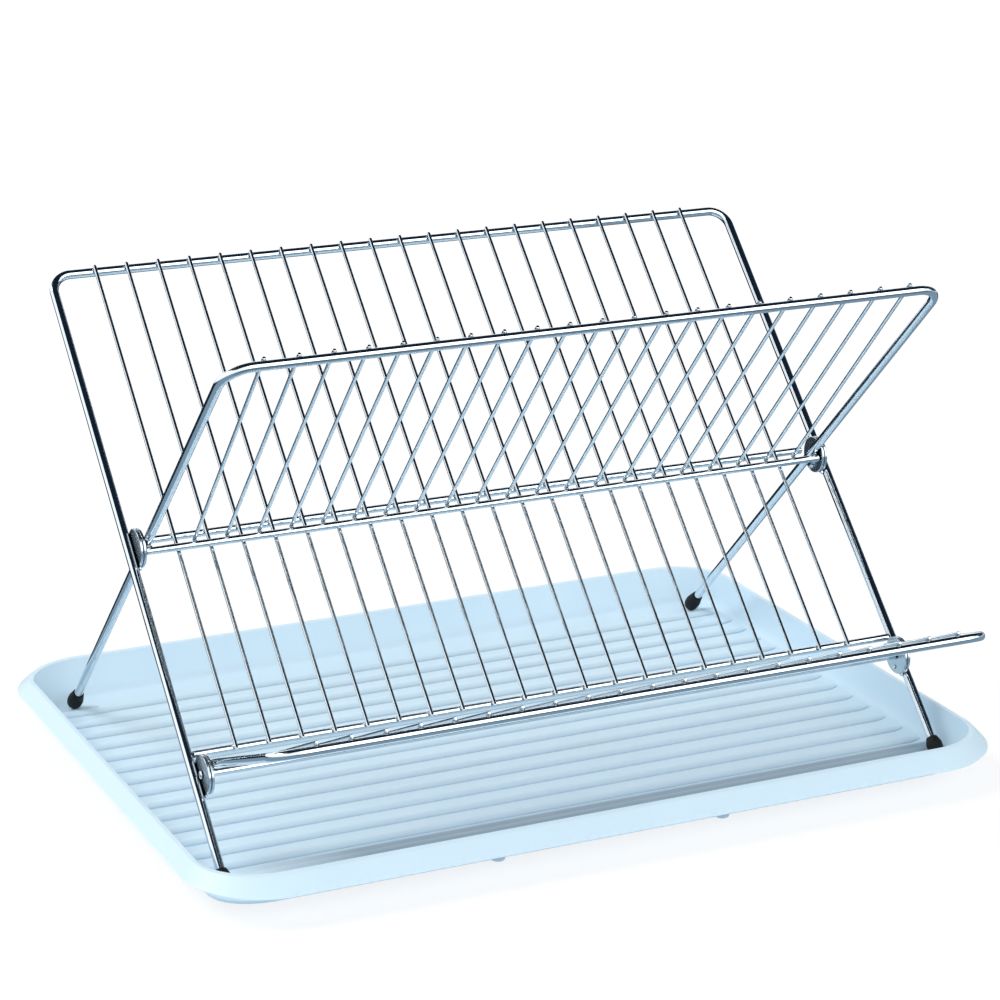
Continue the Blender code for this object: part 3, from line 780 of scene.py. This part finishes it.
def tray_skin(half_x, half_y):
    """The moulding's upper face: a ring in the shape of the floor, drawn out ring by ring over the rim."""
    centre_x, centre_y = half_x - TRAY_CORNER, half_y - TRAY_CORNER
    quarters = ((1, 1), (-1, 1), (-1, -1), (1, -1))

    def radii(spread):
        return (
            half_x - RIM_SPREAD_X * (1 - spread) - centre_x,
            half_y - RIM_SPREAD_Y * (1 - spread) - centre_y,
        )

    def of_quarter(side_x, side_y, ring):
        return lambda v: v.index in ring and v.co.x * side_x > 0 and (v.co.y - PIVOT.y) * side_y > 0

    deselect()
    bpy.ops.mesh.primitive_circle_add(vertices=CORNER_STEPS * 4, radius=1.0, location=(0.0, 0.0, 0.0))
    made = bpy.context.object
    bpy.ops.object.mode_set(mode="EDIT")
    bpy.ops.mesh.select_all(action="SELECT")
    # Turned by half a step, the ring has no point between two quarters, which then move to the corners
    bpy.ops.transform.rotate(
        value=math.pi / (CORNER_STEPS * 4), orient_axis="Z", center_override=(0.0, 0.0, 0.0)
    )
    start_x, start_y = radii(TRAY_SECTION[0][0])
    bpy.ops.transform.resize(value=(start_x, start_y, 1.0), center_override=(0.0, 0.0, 0.0))
    bpy.ops.transform.translate(value=(0.0, PIVOT.y, TRAY_FLOOR))
    first = set(range(CORNER_STEPS * 4))
    for side_x, side_y in quarters:
        choose(made, of_quarter(side_x, side_y, first))
        bpy.ops.transform.translate(value=(side_x * centre_x, side_y * centre_y, 0.0))
    bpy.ops.mesh.select_all(action="SELECT")
    for (spread, rise), (wider, higher) in zip(TRAY_SECTION, TRAY_SECTION[1:]):
        step = (higher - rise) * TRAY_DEPTH
        bpy.ops.mesh.extrude_region_move(TRANSFORM_OT_translate={"value": (0.0, 0.0, step)})
        ring = {v.index for v in bmesh.from_edit_mesh(made.data).verts if v.select}
        (old_x, old_y), (new_x, new_y) = radii(spread), radii(wider)
        for side_x, side_y in quarters:
            choose(made, of_quarter(side_x, side_y, ring))
            bpy.ops.transform.resize(
                value=(new_x / old_x, new_y / old_y, 1.0),
                center_override=(side_x * centre_x, PIVOT.y + side_y * centre_y, 0.0),
            )
        choose(made, lambda v: v.index in ring)
    choose(made, lambda v: v.index in first)
    bpy.ops.mesh.edge_face_add()
    bpy.ops.mesh.select_all(action="SELECT")
    bpy.ops.mesh.normals_make_consistent(inside=False)
    floor = max(bmesh.from_edit_mesh(made.data).faces, key=lambda f: f.calc_area())
    if floor.normal.z < 0:
        bpy.ops.mesh.flip_normals()
    bpy.ops.object.mode_set(mode="OBJECT")
    return made


def ridge(half_length, half_width, height, taper):
    """A long low ridge with pointed ends: a ring drawn out along X, flattened, and cut off under the floor."""
    ends = [(half_length - taper * far, half_width * size) for far, size in RIDGE_ENDS]
    stations = [(-x, wide) for x, wide in ends] + [(x, wide) for x, wide in reversed(ends)]
    deselect()
    bpy.ops.mesh.primitive_circle_add(
        vertices=36, radius=stations[0][1], location=(stations[0][0], 0.0, 0.0),
        rotation=(0.0, math.radians(90.0), 0.0),
    )
    made = bpy.context.object
    bpy.ops.object.mode_set(mode="EDIT")
    bpy.ops.mesh.select_all(action="SELECT")
    for (old_x, old), (new_x, new) in zip(stations, stations[1:]):
        bpy.ops.mesh.extrude_region_move(TRANSFORM_OT_translate={"value": (new_x - old_x, 0.0, 0.0)})
        bpy.ops.transform.resize(value=(1.0, new / old, new / old), center_override=(new_x, 0.0, 0.0))
    bpy.ops.mesh.select_all(action="SELECT")
    bpy.ops.mesh.fill_holes(sides=0)
    bpy.ops.mesh.select_all(action="SELECT")
    bpy.ops.transform.resize(value=(1.0, 1.0, height / half_width), center_override=(0.0, 0.0, 0.0))
    bpy.ops.mesh.normals_make_consistent(inside=False)
    bpy.ops.mesh.bisect(
        plane_co=(0.0, 0.0, -RIDGE_SINK), plane_no=(0.0, 0.0, -1.0), use_fill=True, clear_outer=True
    )
    bpy.ops.object.mode_set(mode="OBJECT")
    apply_place()
    return made


def copies(obj, places):
    """Puts a piece at the first place, and a copy with its own mesh at each other one."""
    made = [obj]
    for place in places[1:]:
        pick([obj])
        bpy.ops.object.duplicate()
        made.append(bpy.context.object)
        bpy.context.object.location = place
    obj.location = places[0]
    return made


def raised_forms(half_x, half_y):
    """What stands out of the tray's floor: its ribs, its bumps beside the back feet and its nubs below."""
    floor_x, floor_y = half_x - RIM_SPREAD_X, half_y - RIM_SPREAD_Y
    rib = ridge(floor_x, RIB_HALF_WIDTH, RIB_HEIGHT, RIB_TAPER)
    pieces = copies(rib, [(0.0, FIRST_RIB + RIB_PITCH * n, TRAY_FLOOR) for n in range(RIBS)])
    bump = ridge(BUMP_HALF_LENGTH, BUMP_HALF_WIDTH, BUMP_HEIGHT, BUMP_HALF_LENGTH)
    beside = [(side * INNER_HALF + BUMP_BESIDE_LEG, FEET_Y, TRAY_FLOOR) for side in (-1, 1)]
    pieces += copies(bump, beside)
    depth = TRAY_FLOOR - TRAY_WALL + NUB_SINK
    deselect()
    bpy.ops.mesh.primitive_cylinder_add(vertices=32, radius=NUB_RADIUS, depth=depth)
    nub = bpy.context.object
    round_edges(nub, NUB_ROUNDING, 5)
    nub_x, nub_y = floor_x - NUB_INSET_X, floor_y - NUB_INSET_Y
    places = [(x, PIVOT.y + y) for x in (-NUB_FROM_MIDDLE, NUB_FROM_MIDDLE) for y in (-nub_y, nub_y)]
    places += [(-nub_x, PIVOT.y), (nub_x, PIVOT.y)]
    pieces += copies(nub, [(x, y, depth / 2) for x, y in places])
    made = joined(pieces)
    apply_place()
    return made


class MESH_OT_dish_rack_tray(bpy.types.Operator):
    """Draw the moulded drip tray, with its ribs, its bumps beside the back feet and its nubs below"""

    bl_idname = "mesh.dish_rack_tray"
    bl_label = "Drip Tray"
    bl_options = {"REGISTER", "UNDO"}

    def execute(self, context):
        half_x, half_y = settings().tray_half
        tray = tray_skin(half_x, half_y)
        wall = tray.modifiers.new("wall", "SOLIDIFY")
        wall.thickness = TRAY_WALL
        wall.offset = -1.0
        wall.use_even_offset = True
        apply_modifiers(tray)
        round_edges(tray, TRAY_ROUNDING, 3, 60.0)
        raised = raised_forms(half_x, half_y)
        fuse = tray.modifiers.new("fuse", "BOOLEAN")
        fuse.operation = "UNION"
        fuse.solver = "EXACT"
        fuse.object = raised
        apply_modifiers(tray)
        bpy.data.objects.remove(raised)
        settle(
            tray, "drip_tray_moulded", Matrix.Identity(4), "moulded_polypropylene", "tray", ["drip_tray"]
        )
        return {"FINISHED"}


def studio_floor():
    """A lit sweep: the camera and the chrome see it mostly as white glow, with a pale shadow left."""
    deselect()
    bpy.ops.mesh.primitive_plane_add(size=40.0, location=(0.0, 0.0, 0.0))
    floor = bpy.context.object
    floor.name = "studio_floor"
    made, tree, shader = new_material("painted_floor", {
        "Roughness": 0.9, "Specular IOR Level": 0.0, "Emission Color": (1.0, 1.0, 1.0, 1.0),
    })
    rays = add_node(tree, "ShaderNodeLightPath", "rays").outputs
    seen = maths(tree, "seen", "MAXIMUM", rays["Is Camera Ray"], rays["Is Glossy Ray"])
    glow = ramp(tree, "glow", seen, (0.0, 1.0), (0.18, 0.76))
    tree.links.new(glow, shader.inputs["Emission Strength"])
    colour = hex_colour(settings().floor_colour)
    paint = mixed(tree, "paint", seen, colour, scaled_colour(colour, 0.28))
    tree.links.new(paint, shader.inputs["Base Color"])
    floor.data.materials.append(made)


def white_room():
    """White behind the object, brighter in its reflections, and soft as a light."""
    world = bpy.data.worlds.new("soft_white_room")
    bpy.context.scene.world = world
    world.use_nodes = True
    tree = world.node_tree
    tree.nodes.clear()
    rays = add_node(tree, "ShaderNodeLightPath", "rays").outputs
    mirrored = maths(tree, "mirrored", "MULTIPLY_ADD", rays["Is Glossy Ray"], 0.75, 0.5)
    strength = maths(tree, "strength", "MULTIPLY_ADD", rays["Is Camera Ray"], 0.5, mirrored)
    back = add_node(
        tree, "ShaderNodeBackground", "white", {"Color": (1.0, 1.0, 1.0, 1.0), "Strength": strength}
    )
    add_node(tree, "ShaderNodeOutputWorld", "world", {"Surface": back.outputs[0]})


def reflection_cards():
    """Cards that only reflections see, which give the chrome its streaks.

    A dark ceiling and right side, a grey blue table, and darker strips in front and behind.
    """
    for name, size, place, turn, colour in (
        ("ceiling_card", (4.2, 3.3), (0.55, 0.63, 1.60), (0.0, 0.0, 0.0), "#172230"),
        ("right_card", (1.4, 3.0), (2.65, 0.75, 0.90), (0.0, 90.0, 0.0), "#3A4956"),
        ("table_card", (6.0, 6.0), (0.00, 0.00, 0.0005), (0.0, 0.0, 0.0), "#859CAE"),
        ("front_card", (1.8, 0.6), (0.45, -0.72, 0.0015), (0.0, 0.0, 0.0), "#5E6F7A"),
        ("back_card", (3.2, 1.6), (0.10, 1.02, 0.0015), (0.0, 0.0, 0.0), "#1A2834"),
    ):
        bpy.ops.mesh.primitive_plane_add(
            size=1.0, location=place, rotation=tuple(math.radians(v) for v in turn)
        )
        card = bpy.context.object
        card.scale = (*size, 1.0)
        card.name = name
        made, _, _ = new_material(name, {
            "Base Color": (0.0, 0.0, 0.0, 1.0), "Roughness": 1.0, "Specular IOR Level": 0.0,
            "Emission Color": hex_colour(colour), "Emission Strength": 1.0,
        })
        card.data.materials.append(made)
        card.visible_camera = False
        card.visible_diffuse = False
        card.visible_shadow = False
        card.visible_transmission = False


def sun_lights():
    """A key light from the upper left and behind, and a softer fill from the front."""
    for name, place, strength, spread in (
        ("key_light", (-0.6, 0.35, 0.8), 1.46, 30.0),
        ("fill_light", (0.3, -0.9, 0.45), 1.2, 60.0),
    ):
        bpy.ops.object.light_add(type="SUN", location=place)
        light = bpy.context.object
        light.name = name
        light.data.energy = strength
        light.data.angle = math.radians(spread)
        light.rotation_euler = (-Vector(place)).to_track_quat("-Z", "Y").to_euler()


class MESH_OT_dish_rack_stage(bpy.types.Operator):
    """Lay the studio floor and set the lights and the camera"""

    bl_idname = "mesh.dish_rack_stage"
    bl_label = "Studio"
    bl_options = {"REGISTER", "UNDO"}

    def execute(self, context):
        context.scene.view_settings.view_transform = "Standard"
        studio_floor()
        white_room()
        reflection_cards()
        sun_lights()
        photo_camera()
        return {"FINISHED"}


def photo_camera():
    """The camera, at the photograph's angle, distance and slight roll."""
    azimuth, elevation, roll = (math.radians(v) for v in CAMERA_ANGLES)
    away = Vector((
        math.sin(azimuth) * math.cos(elevation), -math.cos(azimuth) * math.cos(elevation), math.sin(elevation)
    ))
    right = away.cross(Vector((0.0, 0.0, -1.0))).normalized()
    up = right.cross(-away)
    across = right * math.cos(roll) + up * math.sin(roll)
    upward = up * math.cos(roll) - right * math.sin(roll)
    data = bpy.data.cameras.new("photo_camera")
    data.sensor_width = 36.0
    data.lens = CAMERA_LENS
    camera = bpy.data.objects.new("photo_camera", data)
    bpy.context.scene.collection.objects.link(camera)
    turn = Matrix((across, upward, away)).transposed().to_4x4()
    camera.matrix_world = Matrix.Translation(CAMERA_TARGET + away * CAMERA_DISTANCE) @ turn
    bpy.context.scene.camera = camera


class VIEW3D_PT_dish_rack(bpy.types.Panel):
    """Sizes, colours and steps of the dish rack"""

    bl_label = "Dish Rack"
    bl_idname = "VIEW3D_PT_dish_rack"
    bl_space_type = "VIEW_3D"
    bl_region_type = "UI"
    bl_category = "Dish Rack"

    def draw(self, context):
        for name in DishRackSettings.__annotations__:
            self.layout.prop(context.scene.dish_rack, name)
        for step in STEPS:
            self.layout.operator(step.bl_idname)


STEPS = (
    MESH_OT_dish_rack_tray,
    MESH_OT_dish_rack_frames,
    MESH_OT_dish_rack_grids,
    MESH_OT_dish_rack_rivets,
    MESH_OT_dish_rack_feet,
    MESH_OT_dish_rack_stage,
)
CLASSES = (DishRackSettings, *STEPS, VIEW3D_PT_dish_rack)


def register():
    for item in CLASSES:
        bpy.utils.register_class(item)
    bpy.types.Scene.dish_rack = PointerProperty(type=DishRackSettings)


def unregister():
    del bpy.types.Scene.dish_rack
    for item in reversed(CLASSES):
        bpy.utils.unregister_class(item)


def main():
    register()
    bpy.ops.mesh.dish_rack_tray()
    bpy.ops.mesh.dish_rack_frames()
    bpy.ops.mesh.dish_rack_grids()
    bpy.ops.mesh.dish_rack_rivets()
    bpy.ops.mesh.dish_rack_feet()
    bpy.ops.mesh.dish_rack_stage()


if __name__ == "__main__":
    main()
